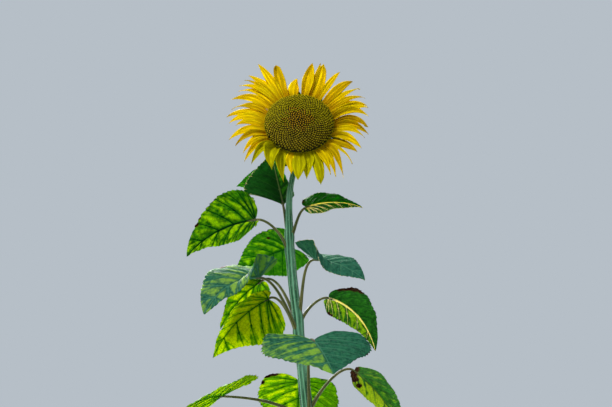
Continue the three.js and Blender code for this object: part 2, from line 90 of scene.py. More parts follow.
UPPER_LEAVES = [
    grow(1425, 150, 20, 89, 0, 190, 140, rise=80, swing=-39, dip=60, fold=8, lobe=-0.08, ear=0.01, skew=-0.45),
    grow(1462, 108, 146, 162, 10, 106, 104, swing=60, dip=-5, roll=-25),
    grow(1385, 180, 92, 84, 46, 210, 170, rise=75, dip=-6, fold=14, roll=-42, curl=0.1, lobe=0.02, skew=-0.12, cup=28),
    grow(1425, 338, 50, 73, 42, 150, 112, rise=60, swing=20, dip=20, fold=9, roll=-43, curl=0.1, lobe=0.06, skew=0.02),
    grow(1378, 92, 68, 30, 28, 186, 166, rise=60, swing=58, dip=-5, fold=0, cup=10, roll=-33, lobe=0.19),
    grow(1170, 215, 124, 128, 60, 200, 182, rise=62, swing=-3, dip=-5, cup=56, cup_side=-1, cup_long=0.4, roll=33,
         lobe=0.34, skew=0.2),
    grow(1200, 132, 152, 126, 34, 168, 172, rise=62, swing=50, dip=-34, fold=0, cup=10, roll=-24),
    grow(1165, 160, 87, 98, 42, 215, 174, swing=10, dip=-25, fold=-25, roll=-38, curl=0.1, lobe=0.1, skew=0.2),
    grow(1215, 324, 60, 138, 36, 160, 132, rise=75, swing=6, dip=-8, fold=0, cup=48, cup_side=1, cup_long=0.4,
         roll=-29, twist=-16, lobe=0.42),
    grow(1195, 14, 82, 68, 70, 212, 118, swing=22, dip=-4, fold=0, cup=5, roll=33, lobe=-0.02, skew=0.16),
    grow(930, 275, 123, 199, 20, 175, 286, swing=15, dip=-26, fold=1, cup=14, roll=-6, skew=0.02),
    grow(960, 104, 80, 94, 30, 240, 215, rise=65, swing=-10, dip=-30, fold=0, roll=-8),
    grow(970, 354, 122, 98, 38, 230, 100, rise=65, swing=-15, dip=-36, roll=-40, lobe=-0.03, skew=-0.12),
    grow(940, 188, 220, 62, 20, 240, 240, rise=50, swing=62, dip=-5, fold=0, roll=-27, curl=0.05),
]
LOWER_LEAF_COUNT = 12
LOWER_TOP = 868
LOWER_BOTTOM = 250
SMALLER_FROM = 0.55  # share of the way down the lower leaves at which they begin to get smaller
GOLDEN_ANGLE = 137.5
FIRST_LOWER_TURN = 40

HEAD_MIDDLE = Vector((-92, -75, 1706))
HEAD_TURN = 270
HEAD_RISE = 17.5
DISC_RADIUS = 93
DISC_DOME = 29
DISC_EDGE = 8
RECEPTACLE_DEPTH = 52
RECEPTACLE_FRONT = -3.4
RAY_RING_INSIDE = 86

# each ray's foot turn, tip turn, distance of its tip from the middle, and width
RAYS = [
    [6, 0, 182, 16], [13, 10, 186, 22], [20, 18, 192, 24], [25, 21, 193, 15], [30, 28, 197, 16],
    [38, 38, 203, 16], [46, 47, 205, 24], [57, 58, 199, 15], [67, 72, 202, 26], [73, 74, 196, 14],
    [81, 80, 192, 26], [99, 92, 152, 26], [112, 107, 207, 24], [118, 120, 212, 22], [123, 129, 208, 21],
    [127, 134, 202, 16], [130, 140, 203, 16], [136, 144, 197, 21], [146, 154, 197, 21], [156, 164, 185, 19],
    [165, 172, 193, 19], [173, 176, 185, 21], [182, 182, 166, 16], [190, 191, 188, 21], [199, 201, 177, 19],
    [206, 210, 168, 16], [212, 219, 181, 16], [219, 226, 177, 16], [230, 245, 165, 34], [244, 257, 174, 22],
    [257, 263, 155, 20], [270, 269, 169, 26], [283, 277, 164, 22], [293, 287, 192, 21], [300, 297, 178, 18],
    [308, 301, 185, 21], [317, 307, 189, 18], [322, 317, 188, 9], [328, 331, 172, 21], [337, 334, 180, 20],
    [348, 347, 176, 18], [357, 353, 183, 18],
]


def heading(turn, rise):
    level = cos(radians(rise))
    return Vector((cos(radians(turn)) * level, sin(radians(turn)) * level, sin(radians(rise))))


def right_of(turn):
    return Vector((sin(radians(turn)), -cos(radians(turn)), 0))


def between(low, high, share):
    return low + (high - low) * share


def smooth_step(low, high, value):
    share = min(max((value - low) / (high - low), 0), 1)
    return share * share * (3 - 2 * share)


HEAD_AXIS = heading(HEAD_TURN, HEAD_RISE)
HEAD_UP = HEAD_AXIS.cross(Vector((1, 0, 0)))
HEAD_FRAME = Matrix.Translation(HEAD_MIDDLE) @ Matrix((Vector((1, 0, 0)), HEAD_UP, HEAD_AXIS)).transposed().to_4x4()

neck = HEAD_MIDDLE - HEAD_AXIS * (RECEPTACLE_DEPTH + 0.4)
stem_line = STEM_LINE + [(neck.x, neck.y, neck.z, NECK_RADIUS)]


def stem_point(share):
    """The stem's middle and radius, from share 0 at the ground to 1 at the head."""
    last = len(stem_line) - 1
    index = min(floor(share * last), last - 1)
    f = share * last - index
    near = [stem_line[min(max(index + step, 0), last)] for step in (-1, 0, 1, 2)]
    x, y, z, radius = (
        b + 0.5 * f * (c - a + f * (2 * a - 5 * b + 4 * c - d + f * (3 * (b - c) + d - a)))
        for a, b, c, d in zip(*near)
    )
    return Vector((x, y, z)), radius + ROOT_FLARE * exp(-z / ROOT_FLARE_HEIGHT)


def stem_share(height):
    low, high = 0.0, 1.0
    for _ in range(HALVINGS):
        share = (low + high) / 2
        if stem_point(share)[0].z < height:
            low = share
        else:
            high = share
    return low


def stem_at_height(height):
    return stem_point(stem_share(height))


def midrib_of(leaf):
    """Places along the midrib, each with the directions along, right and up."""
    turn = leaf.turn + leaf.swing
    level = right_of(turn)
    middle = stem_at_height(leaf.at)[0] + heading(leaf.turn, 0) * leaf.reach + Vector((0, 0, leaf.lift))
    places = []
    for step in range(MIDRIB_STEPS + 1):
        share = step / MIDRIB_STEPS
        along = heading(turn, leaf.dip - leaf.droop * share)
        above = level.cross(along)
        roll = radians(leaf.roll + leaf.twist * share)
        right = level * cos(roll) + above * sin(roll)
        places.append((middle.copy(), along, right, above * cos(roll) - level * sin(roll)))
        halfway = share + 0.5 / MIDRIB_STEPS
        middle += heading(turn, leaf.dip - leaf.droop * halfway) * (leaf.long / MIDRIB_STEPS)
    return places


def blade_point(leaf, midrib, x, y):
    """A point of the blade, x along the midrib and y to the right of it."""
    place = min(max(x / leaf.long, 0), 1) * MIDRIB_STEPS
    index = min(int(place), MIDRIB_STEPS - 1)
    middle, along, right, up = (a.lerp(b, place - index) for a, b in zip(midrib[index], midrib[index + 1]))
    half = leaf.wide / 2
    side = 1 if y > 0 else -1 if y < 0 else 0
    reach = max(x + CUP_BEHIND * leaf.long, 0) / (leaf.cup_long * leaf.long)
    raised = radians(leaf.fold + leaf.cup * (1 + leaf.cup_side * side) * exp(-reach * reach))
    out = abs(y)
    height = out * sin(raised) - leaf.curl * half * (out / half) ** 2
    return middle + along * min(x, 0) + right * (side * out * cos(raised)) + up * height


def blade_flat(leaf, u, across):
    """Where a point of a vein lies on the flattened blade.

    u says where the vein ends on the edge, from the base (0) to the tip (1). across is -1 at the left edge and 1 at
    the right edge.
    """
    along = u ** 1.65 - leaf.lobe * sin(pi * min(u / LOBE_REACH, 1))
    out = 0.5 * max(sin(pi * u ** 0.8), 0) ** 0.8 * (1 - 0.35 * u ** 4)
    start = max((u - VEIN_FAN) / (1 - VEIN_FAN), 0) ** 1.6
    share = abs(across)
    side = 1 if across > 0 else -1
    bulge = leaf.ear * sin(pi * min(share, 1)) * max(1 - (u - FIRST_VEIN) / EAR_REACH, 0) ** 2
    x = leaf.long * (start + (along - start) * share - bulge)
    return x, across * out * leaf.wide * (1 + leaf.skew * side)


def lower_leaf(index):
    """Larger lower down, and smaller again at the very bottom."""
    share = index / (LOWER_LEAF_COUNT - 1)
    size = 1 - max(share - SMALLER_FROM, 0)
    wobble = sin(2.4 * index + 1)
    return grow(
        between(LOWER_TOP, LOWER_BOTTOM, share), (FIRST_LOWER_TURN + GOLDEN_ANGLE * index) % 360,
        (170 + 18 * wobble) * size, 62 - 40 * share, 38 + 14 * share, (258 + 14 * wobble) * size,
        (228 - 10 * wobble) * size, rise=58 - 12 * share, swing=8 * sin(1.7 * index),
        dip=-22 - 22 * share + 6 * wobble, fold=4, roll=12 * sin(3.1 * index + 0.5), curl=0.2,
    )


# ---- making a piece ----


def mesh_from(bm, name):
    mesh = bpy.data.meshes.new(name)
    bm.to_mesh(mesh)
    bm.free()
    return mesh


def put_in_scene(name, data):
    holder = bpy.data.objects.new(name, data)
    bpy.context.scene.collection.objects.link(holder)
    return holder


def finish_piece(bm, name, finishes, replaced):
    """Scales the mesh to metres, and makes it a piece that rides on the plant and stands for those nodes."""
    bmesh.ops.scale(bm, vec=(MM, MM, MM), verts=bm.verts)
    mesh = mesh_from(bm, name)
    mesh.shade_smooth()
    for finish in finishes:
        mesh.materials.append(finish)
    piece = put_in_scene(name, mesh)
    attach(piece, "root")
    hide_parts(*replaced)
    return piece


def tube(sides, steps):
    """A closed cylinder of even rings. Each corner's height and angle say where it goes."""
    bm = bmesh.new()
    bmesh.ops.create_cone(bm, cap_ends=True, cap_tris=True, segments=sides, radius1=1, radius2=1, depth=1)
    upright = [edge for edge in bm.edges if abs(edge.verts[0].co.z - edge.verts[1].co.z) > 0.5]
    bmesh.ops.subdivide_edges(bm, edges=upright, cuts=steps - 1, use_grid_fill=True)
    return bm


def tube_corners(bm):
    """Each corner of a tube, with its share of the way along, its angle, and how far out it is from 0 to 1."""
    for vert in bm.verts:
        yield vert, vert.co.z + 0.5, atan2(vert.co.y, vert.co.x), min(hypot(vert.co.x, vert.co.y), 1)


def sheet(columns, rows):
    """A flat sheet from -1 to 1 both ways."""
    bm = bmesh.new()
    bmesh.ops.create_grid(bm, x_segments=columns, y_segments=rows, size=1)
    return bm


def float_layers(bm, *names):
    return [bm.verts.layers.float.new(name) for name in names]


def stamp(bm, template, place):
    """Adds a copy of the template mesh at that place."""
    copy = template.copy()
    copy.transform(place)
    bm.from_mesh(copy)
    bpy.data.meshes.remove(copy)


def facing(direction, spin):
    """A turn that points +Z along the direction."""
    return direction.to_track_quat("Z", "Y").to_matrix().to_4x4() @ Matrix.Rotation(spin, 4, "Z")


# ---- node materials ----


def linear(value):
    return value / 12.92 if value <= 0.04045 else ((value + 0.055) / 1.055) ** 2.4


def paint(code):
    """A linear colour from a screen colour code."""
    return tuple(linear(int(code[start:start + 2], 16) / 255) for start in (1, 3, 5)) + (1,)


class Finish:
    """One node material under construction. A colour is a socket or a screen colour code."""

    def __init__(self, name):
        self.material = bpy.data.materials.new(name)
        self.material.use_nodes = True
        self.tree = self.material.node_tree
        self.tree.nodes.clear()

    def put(self, kind, sockets=None, **settings):
        """Adds a node, fills its sockets and returns its outputs."""
        node = self.tree.nodes.new("ShaderNode" + kind)
        for key, value in settings.items():
            setattr(node, key, value)
        for key, value in (sockets or {}).items():
            if isinstance(value, bpy.types.NodeSocket):
                self.tree.links.new(value, node.inputs[key])
            else:
                node.inputs[key].default_value = paint(value) if isinstance(value, str) else value
        return node.outputs

    def blend(self, share, first, second, mode="MIX"):
        return self.put("Mix", {0: share, 6: first, 7: second}, data_type="RGBA", blend_type=mode)[2]

    def step(self, value, low, high, start=0.0, end=1.0):
        settings = {"Value": value, "From Min": low, "From Max": high, "To Min": start, "To Max": end}
        return self.put("MapRange", settings, interpolation_type="SMOOTHSTEP")[0]

    def lay(self, colour, other, value, low, high, start=0.0, end=1.0):
        """The colour, with the other laid over it as the value goes from low to high."""
        return self.blend(self.step(value, low, high, start, end), colour, other)

    def math(self, operation, first, second=0.0):
        return self.put("Math", {0: first, 1: second}, operation=operation)[0]

    def unsettle(self, value, cloud, amount):
        """The value, pushed up and down by a noise."""
        return self.math("ADD", value, self.math("MULTIPLY", self.math("SUBTRACT", cloud, 0.5), amount))

    def relief(self, first, second, share):
        """Two heights added, the first at that share and the second at the rest."""
        return self.math("ADD", self.math("MULTIPLY", first, share), self.math("MULTIPLY", second, 1 - share))

    def own(self, name, output="Fac"):
        """What the piece's mesh says at each corner under that name."""
        return self.put("Attribute", attribute_name=name)[output]

    def place(self):
        return self.put("TexCoord")["Object"]

    def stretched(self, where, scale):
        return self.put("Mapping", {"Vector": where, "Scale": scale})[0]

    def noise(self, where, scale, detail=3.0):
        return self.put("TexNoise", {"Vector": where, "Scale": scale, "Detail": detail, "Roughness": 0.55})[0]

    def cells(self, where, scale):
        return self.put("TexVoronoi", {"Vector": where, "Scale": scale}, feature="DISTANCE_TO_EDGE")[0]

    def bump(self, height, distance, strength):
        return self.put("Bump", {"Height": height, "Distance": distance, "Strength": strength})[0]

    def close(self, colour, roughness, normal, through=None, through_share=0.0, **sockets):
        """Joins the colours to the surface. through is the colour of light that passes the piece."""
        values = {"Base Color": colour, "Roughness": roughness, "Normal": normal}
        values.update({key.replace("_", " "): value for key, value in sockets.items()})
        surface = self.put("BsdfPrincipled", values)[0]
        if through is not None:
            passed = self.put("BsdfTranslucent", {"Color": through, "Normal": normal})[0]
            surface = self.put("MixShader", {0: through_share, 1: surface, 2: passed})[0]
        self.put("OutputMaterial", {"Surface": surface})
        return self.material


DRY_BROWN = "#1e1012"
DRY_RUST = "#6c4420"
CREAM = "#e6dca4"
CLEAR_GREEN = (1.0, 1.0, 0.15, 1)  # what the flesh lets through of the light behind it


def blade_finish(name, deep, flesh, patch, vein, rib_green_and_shade_share, shine, glow):
    """Leaf flesh with yellowing patches, ribs in darker bands that are partly the green kept along the veins and
    partly painted shade, a net of small veins and dry places.
    """
    skin = Finish(name)
    flat = skin.own("flat", "Vector")
    rib, yellow, dry, pale = (skin.own(name) for name in ("rib", "yellow", "dry", "pale"))
    mottle = skin.noise(flat, 0.09, 4.0)
    fleck = skin.noise(flat, 0.6, 2.0)
    net = skin.cells(flat, 0.11)
    fine_net = skin.cells(flat, 0.42)
    lines = skin.step(net, 0.0, 0.07, 1.0, 0.0)
    fine_lines = skin.step(fine_net, 0.0, 0.09, 1.0, 0.0)
    rib_mask = skin.step(rib, 0.55, 1.35, 1.0, 0.0)
    rib_green_and_shade = skin.step(rib, 1.0, 3.0, 1.0, 0.0)
    rib_colour = skin.lay(vein, CREAM, pale, 0.0, 0.6)

    colour = skin.lay(deep, flesh, mottle, 0.3, 0.7)
    spread = skin.math("MULTIPLY", yellow, skin.step(mottle, 0.3, 0.7, 0.6, 1.4))
    colour = skin.lay(colour, patch, spread, 0.15, 0.85, 0.0, 0.9)
    # darker band along the ribs: partly the green that stays by the veins, partly painted shade
    colour = skin.blend(skin.math("MULTIPLY", rib_green_and_shade, rib_green_and_shade_share), colour, deep)
    colour = skin.blend(skin.math("MULTIPLY", lines, 0.45), colour, vein)
    colour = skin.blend(skin.math("MULTIPLY", fine_lines, 0.18), colour, vein)
    colour = skin.blend(rib_mask, colour, rib_colour)
    # cream is laid where pale is high: on pale ribs, and along the edges as painted rim light
    colour = skin.lay(colour, CREAM, pale, 0.75, 1.0)
    worn = skin.unsettle(dry, fleck, 0.35)
    brown = skin.lay(DRY_BROWN, DRY_RUST, fleck, 0.42, 0.72)
    colour = skin.lay(colour, brown, worn, 0.42, 0.6)

    height = skin.math("SUBTRACT", skin.math("MULTIPLY", fleck, 0.25), skin.math("MULTIPLY", lines, 0.6))
    height = skin.math("SUBTRACT", height, skin.math("MULTIPLY", fine_lines, 0.3))
    normal = skin.bump(height, 0.0006, 0.7)
    roughness = skin.step(mottle, 0.2, 0.8, 0.55, 0.75)
    through = skin.blend(1.0, colour, CLEAR_GREEN, "MULTIPLY")
    return skin.close(colour, roughness, normal, through, glow, Specular_IOR_Level=shine)


# This grey-green upper face holds a painted bluish sheen: the sky's reflection is laid into its colours.
upper_painted_sheen = blade_finish("leaf_upper_painted_sheen", "#1a4838", "#2c6650", "#7ea434", "#40745a", 0.15, 0.01, 0.25)
# This upper face is a deep green that is partly painted shade, as on a leaf shadowed by the head.
upper_deep_shaded = blade_finish("leaf_upper_deep_shaded", "#063008", "#104014", "#3c8014", "#1c4c18", 0.3, 0.03, 0.3)
upper_fresh = blade_finish("leaf_upper_fresh", "#0e5a0c", "#248018", "#64ac20", "#267c18", 0.4, 0.03, 0.5)
upper_plain = blade_finish("leaf_upper_plain", "#1c4c24", "#346c30", "#90a820", "#487030", 0.25, 0.05, 0.3)
# This underside has the glow of light coming through the leaf painted into its colours: bright yellow-green flesh with
# dark veins against it, over the real translucency.
under_painted_glow = blade_finish("leaf_under_painted_glow", "#94d410", "#c4f80c", "#fffc00", "#34741c", 0.5, 0.03, 0.88)
under_shaded = blade_finish("leaf_under_shaded", "#308414", "#7cc818", "#d4e808", "#144418", 0.75, 0.03, 0.74)
under_fresh = blade_finish("leaf_under_fresh", "#348c10", "#68c018", "#b4dc0c", "#1c6014", 0.6, 0.03, 0.7)
# This underside is painted dark as shade, for undersides that lie in shadow.
under_painted_shade = blade_finish("leaf_under_painted_shade", "#184834", "#285c3c", "#5c9028", "#386850", 0.4, 0.02, 0.2)
under_striped = blade_finish("leaf_under_striped", "#205c1c", "#3c9428", "#b8d81c", "#1c5c1c", 0.5, 0.04, 0.55)
under_plain = blade_finish("leaf_under_plain", "#407c1c", "#64982c", "#b4bc20", "#8cac54", 0.5, 0.04, 0.45)


def stem_finish(name, groove_shade_and_streak, flesh, ridge_light_and_blotch, woody):
    """Ribbed green skin with fine streaks, woodier near the ground, its grooves painted darker as shade and its ridges
    painted paler as light.
    """
    skin = Finish(name)
    where = skin.place()
    ridge = skin.own("ridge")
    age = skin.own("age")
    streak = skin.noise(skin.stretched(where, (1, 1, 0.06)), 420)
    blotch = skin.noise(skin.stretched(where, (1, 1, 0.3)), 38)
    grain = skin.noise(where, 900, 2.0)
    # painted shade in the grooves and painted light on the ridges
    colour = skin.lay(groove_shade_and_streak, flesh, ridge, -0.7, 0.25)
    colour = skin.lay(colour, ridge_light_and_blotch, ridge, 0.25, 1.0)
    colour = skin.lay(colour, ridge_light_and_blotch, blotch, 0.45, 0.7, 0.0, 0.5)
    colour = skin.lay(colour, groove_shade_and_streak, streak, 0.42, 0.72, 0.0, 0.45)
    aged = skin.unsettle(age, blotch, 0.8)
    colour = skin.lay(colour, woody, aged, 0.25, 0.95)
    normal = skin.bump(skin.relief(streak, grain, 0.7), 0.0008, 0.8)
    roughness = skin.step(blotch, 0.3, 0.7, 0.6, 0.8)
    return skin.close(colour, roughness, normal, Specular_IOR_Level=0.15, Sheen_Weight=0.15, Sheen_Roughness=0.5)


stem_green = stem_finish("stem_green", "#103c24", "#2c6444", "#6ca082", "#746c3c")
stalk_olive = stem_finish("stalk_olive", "#202c0a", "#3c4618", "#6c683a", "#54402a")


def bristle_finish():
    skin = Finish("bristle_white")
    tone = skin.noise(skin.place(), 260, 2.0)
    colour = skin.blend(tone, "#c9cdb6", "#eef0e2")
    normal = skin.bump(tone, 0.0001, 0.3)
    return skin.close(colour, 0.55, normal, Specular_IOR_Level=0.4)


bristle_white = bristle_finish()


def ray_finish(name, light, shade, foot):
    """Petal yellow with ridges along it, painted shade in the grooves between them, and darker at the foot, partly the
    ray's own deeper orange and partly painted shade near the disc.
    """
    skin = Finish(name)
    along = skin.own("along")
    across = skin.own("across")
    where = skin.place()
    lane = skin.put("CombineXYZ", {"X": skin.math("MULTIPLY", across, 4.0), "Y": along})[0]
    streak = skin.noise(lane, 2.4)
    cloud = skin.noise(where, 55)
    grain = skin.noise(where, 900, 2.0)
    fold = skin.own("fold")
    colour = skin.lay(shade, light, streak, 0.35, 0.7)
    colour = skin.lay(colour, shade, cloud, 0.45, 0.75, 0.0, 0.5)
    # painted shade in the grooves between the ridges
    colour = skin.lay(colour, shade, fold, 0.1, 0.9, 0.8, 0.0)
    # the foot is darkened: partly the ray's own orange, partly painted shade near the disc
    deep = skin.unsettle(along, streak, 0.5)
    colour = skin.lay(colour, foot, deep, 0.0, 0.42, 0.75, 0.0)
    normal = skin.bump(skin.relief(streak, grain, 0.8), 0.0006, 0.6)
    roughness = skin.step(cloud, 0.3, 0.7, 0.7, 0.9)
    through = skin.blend(1.0, colour, (1.0, 0.9, 0.1, 1), "MULTIPLY")
    return skin.close(colour, roughness, normal, through, 0.3, Specular_IOR_Level=0.02)


ray_bright = ray_finish("ray_bright", "#f0d800", "#b09800", "#9c7400")
ray_gold = ray_finish("ray_gold", "#dcbc00", "#9c8400", "#906000")
ray_lemon = ray_finish("ray_lemon", "#ccc800", "#8c8800", "#887c00")


def head_finish(name, dark, light, scale, rough=0.75):
    """Matt floret or bract skin, flecked between two tones."""
    skin = Finish(name)
    where = skin.place()
    fleck = skin.noise(where, scale)
    grain = skin.noise(where, scale * 4, 2.0)
    colour = skin.lay(dark, light, fleck, 0.32, 0.68)
    colour = skin.lay(colour, dark, grain, 0.5, 0.8, 0.0, 0.4)
    normal = skin.bump(skin.math("ADD", fleck, grain), 0.0004, 0.6)
    roughness = skin.step(grain, 0.3, 0.7, rough - 0.1, rough + 0.08)
    return skin.close(colour, roughness, normal, Specular_IOR_Level=0.06)


# The bed under the florets is painted near black as the shade between them.
shaded_floret_bed = head_finish("shaded_floret_bed", "#100e00", "#2a2600", 300)
FLORET_FINISHES = {  # of the sides and of the tips
    "centre": (head_finish("floret_brown", "#6a4e00", "#886a04", 240),
               head_finish("floret_tip_brown", "#987408", "#bc9418", 300)),
    "upper": (head_finish("floret_olive", "#5c5400", "#7c7004", 240),
              head_finish("floret_tip_olive", "#807800", "#a89c04", 300)),
    # the lower part of the disc has floret sides painted dark as shade
    "lower": (head_finish("floret_painted_shade", "#1c1800", "#342e00", 240),
              head_finish("floret_tip", "#94840c", "#ccb41c", 300)),
}
bract_green = head_finish("bract_green", "#204c10", "#406c20", 130, 0.68)
receptacle_green = head_finish("receptacle_green", "#38601e", "#4c7628", 90, 0.72)

# ---- stem ----

STEM_SIDES = 96
STEM_STEPS = 380
STEM_RIBS = 8
NECK_FLARE = 11  # how much the neck widens into the back of the head
NECK_FLARE_START = 0.965
NECK_SUNK = 6  # how far the neck's end goes into the back of the head
NECK_SUNK_START = 0.985
KNOT_SWELL = 2.2  # the stem's swelling at a leaf's joint, and the height it dies away over
KNOT_HEIGHT = 16
KNOT_NEAR = 0.05  # share of the stem over which a joint is felt
WOODY_HEIGHT = 620
leaves = UPPER_LEAVES + [lower_leaf(index) for index in range(LOWER_LEAF_COUNT)]


def stem_frame(share):
    """The stem's middle, radius and the three directions of its ring."""
    middle, radius = stem_point(share)
    before, _ = stem_point(max(share - 0.004, 0))
    after, _ = stem_point(min(share + 0.004, 1))
    along = (after - before).normalized()
    along = Vector((0, 0, 1)).lerp(along, smooth_step(0, 0.01, share))
    along = along.lerp(HEAD_AXIS, smooth_step(0.97, 1, share)).normalized()
    back = along.cross(Vector((1, 0, 0))).normalized()
    return middle, radius, back.cross(along), back, along


def rib_height(angle, height):
    """The ribs of the stem at that angle, from -1 in a groove to 1 on a ridge. They wander as they climb."""
    drift = 0.9 * noise.noise(Vector((0, 0, height / 260)))
    main = cos(STEM_RIBS * (angle + 0.25 * drift) + 1.2 * noise.noise(Vector((cos(angle), sin(angle), height / 320))))
    small = noise.noise(Vector((7 * cos(angle), 7 * sin(angle), height / 120)))
    return 0.75 * main + 0.5 * small


def skin_depth(height):
    """The ribs are about a millimetre deep, and shallower on the thin neck."""
    return between(1.1, 0.45, smooth_step(1450, 1640, height))


def stem_rings():
    """Each ring of the stem, with the leaves that are joined near it."""
    joints = [(stem_share(leaf.at), leaf) for leaf in leaves]
    rings = []
    for step in range(STEM_STEPS + 1):
        share = step / STEM_STEPS
        middle, radius, across, back, along = stem_frame(share)
        middle = middle + along * (NECK_SUNK * smooth_step(NECK_SUNK_START, 1, share))
        flare = NECK_FLARE * smooth_step(NECK_FLARE_START, 1, share) ** 2
        near = [leaf for joint, leaf in joints if abs(joint - share) < KNOT_NEAR]
        rings.append((middle, radius + flare, across, back, near))
    return rings


def make_stem():
    bm = tube(STEM_SIDES, STEM_STEPS)
    ridge, age = float_layers(bm, "ridge", "age")
    rings = stem_rings()
    for vert, share, angle, rim in tube_corners(bm):
        middle, radius, across, back, near = rings[round(share * STEM_STEPS)]
        out = across * cos(angle) + back * sin(angle)
        rib = rib_height(angle, middle.z)
        knot = 0
        for leaf in near:
            gap = (middle.z - leaf.at) / KNOT_HEIGHT
            knot += max(out.dot(heading(leaf.turn, 0)), 0) ** 2 * exp(-gap * gap)
        lump = 0.5 * noise.noise(Vector((4 * cos(angle), 4 * sin(angle), middle.z / 22)))
        # ridge also sets the painted groove shade and ridge light of the skin
        vert[ridge] = rib
        vert[age] = 1 - smooth_step(0, WOODY_HEIGHT, middle.z)
        vert.co = middle + out * (rim * (radius + skin_depth(middle.z) * rib + KNOT_SWELL * knot + lump))
    bmesh.ops.recalc_face_normals(bm, faces=bm.faces)
    finish_piece(bm, "stem_skin", [stem_green], ["stem"])


make_stem()

# ---- bristles ----

STEM_BRISTLES = 5200
STALK_BRISTLES = 150  # on each stalk


def bristle_template():
    """A thin three-sided spike on its foot."""
    bm = bmesh.new()
    bmesh.ops.create_cone(bm, cap_ends=True, segments=3, radius1=0.16, radius2=0.02, depth=1)
    bmesh.ops.translate(bm, vec=(0, 0, 0.42), verts=bm.verts)
    return mesh_from(bm, "bristle")


bristle = bristle_template()


def set_bristle(bm, draw, foot, out, along, back_lean, thickness, shortest, longest):
    """Sets one bristle on its foot, leaning up to back_lean towards the near end and 0.4 any other way."""
    lean = (out + along * draw.uniform(-back_lean, 0.4) + out.cross(along) * draw.uniform(-0.4, 0.4)).normalized()
    size = Matrix.Diagonal((thickness, thickness, draw.uniform(shortest, longest), 1))
    stamp(bm, bristle, Matrix.Translation(foot) @ facing(lean, 0) @ size)


def stem_bristles():
    draw = random.Random(11)
    bm = bmesh.new()
    for _ in range(STEM_BRISTLES):
        share = draw.random() ** 0.8 * NECK_SUNK_START
        angle = draw.uniform(-pi, pi)
        middle, radius, across, back, along = stem_frame(share)
        out = across * cos(angle) + back * sin(angle)
        foot = middle + out * (radius + skin_depth(middle.z) * rib_height(angle, middle.z) - 0.3)
        set_bristle(bm, draw, foot, out, along, 0.5, 1, 1.6, 3.6)
    finish_piece(bm, "stem_bristles", [bristle_white], ["stem"])


stem_bristles()

# ---- leaf stalks ----

PETIOLE_SIDES = 20
PETIOLE_STEPS = 44
PETIOLE_UNDER_BLADE = 0.1  # share of the midrib that the stalk runs on under
ARCH_STEPS = 36
UNDER_STEPS = 8


def petiole_path(leaf, midrib):
    """The stalk's middle line: out of the stem, over in an arch, and on under the midrib."""
    node_middle, node_radius = stem_at_height(leaf.at)
    foot = node_middle + heading(leaf.turn, 0) * (0.5 * node_radius)
    ahead = heading(leaf.turn + leaf.swing, leaf.dip)
    tip = midrib[0][0] - ahead * 3.2
    span = (tip - foot).length
    leave = heading(leaf.turn, leaf.rise) * (1.1 * span)
    arrive = ahead * (0.8 * span)
    line = []
    for step in range(ARCH_STEPS + 1):
        t = step / ARCH_STEPS
        line.append(
            foot * (2 * t ** 3 - 3 * t ** 2 + 1) + leave * (t ** 3 - 2 * t ** 2 + t)
            + tip * (3 * t ** 2 - 2 * t ** 3) + arrive * (t ** 3 - t ** 2)
        )
    for step in range(1, UNDER_STEPS + 1):
        x = leaf.long * PETIOLE_UNDER_BLADE * step / UNDER_STEPS
        line.append(blade_point(leaf, midrib, x, 0) - midrib[0][3] * (1.2 * step / UNDER_STEPS))
    return line


def petiole_rings(leaf, midrib):
    line = petiole_path(leaf, midrib)
    level = right_of(leaf.turn + leaf.swing / 2)
    rings = []
    for step in range(PETIOLE_STEPS + 1):
        place = step / PETIOLE_STEPS * (len(line) - 1)
        index = min(int(place), len(line) - 2)
        middle = line[index].lerp(line[index + 1], place - index)
        before = line[max(index - 1, 0)]
        after = line[min(index + 2, len(line) - 1)]
        along = (after - before).normalized()
        up = level.cross(along).normalized()
        rings.append((middle, up.cross(along), up, along))
    return rings


def petiole_radius(share, angle):
    """Swollen at the foot, a little flattened, with a groove along the upper side and low ribs."""
    even = between(STALK_RADIUS, STALK_TIP_RADIUS, share) + (STALK_FOOT_RADIUS - STALK_RADIUS) * exp(-6 * share)
    even *= 1 - 0.55 * smooth_step(0.86, 1, share)
    groove = exp(-((angle - pi / 2) / 0.5) ** 2) * smooth_step(0.05, 0.25, share)
    rib = cos(6 * angle + 0.6)
    return even * (1 - 0.24 * groove + 0.05 * rib), rib - 1.5 * groove


def make_petiole(number, rings):
    bm = tube(PETIOLE_SIDES, PETIOLE_STEPS)
    ridge, age = float_layers(bm, "ridge", "age")
    for vert, share, angle, rim in tube_corners(bm):
        middle, across, up, _ = rings[round(share * PETIOLE_STEPS)]
        radius, height = petiole_radius(share, angle)
        lump = 1 + 0.05 * noise.noise(Vector((cos(angle), sin(angle), share * 14 + number)))
        # the upper groove's low value takes the painted groove shade of the skin
        vert[ridge] = height
        vert[age] = 0.45 * smooth_step(0.35, 0.9, share) if number % 3 else 0.1
        vert.co = middle + (across * cos(angle) + up * sin(angle)) * (rim * radius * lump)
    bmesh.ops.recalc_face_normals(bm, faces=bm.faces)
    finish_piece(bm, f"petiole_{number:02d}", [stalk_olive], [f"leaf_{number:02d}_stalk"])


def petiole_bristles(bm, draw, rings):
    for _ in range(STALK_BRISTLES):
        share = draw.uniform(0.02, 0.93)
        angle = draw.uniform(-pi, pi)
        middle, across, up, along = rings[round(share * PETIOLE_STEPS)]
        middle = middle + along * draw.uniform(-1.5, 1.5)
        out = across * cos(angle) + up * sin(angle)
        radius, _ = petiole_radius(share, angle)
        set_bristle(bm, draw, middle + out * (radius - 0.2), out, along, 0.4, 0.8, 1.2, 2.6)


# ---- leaf blades ----

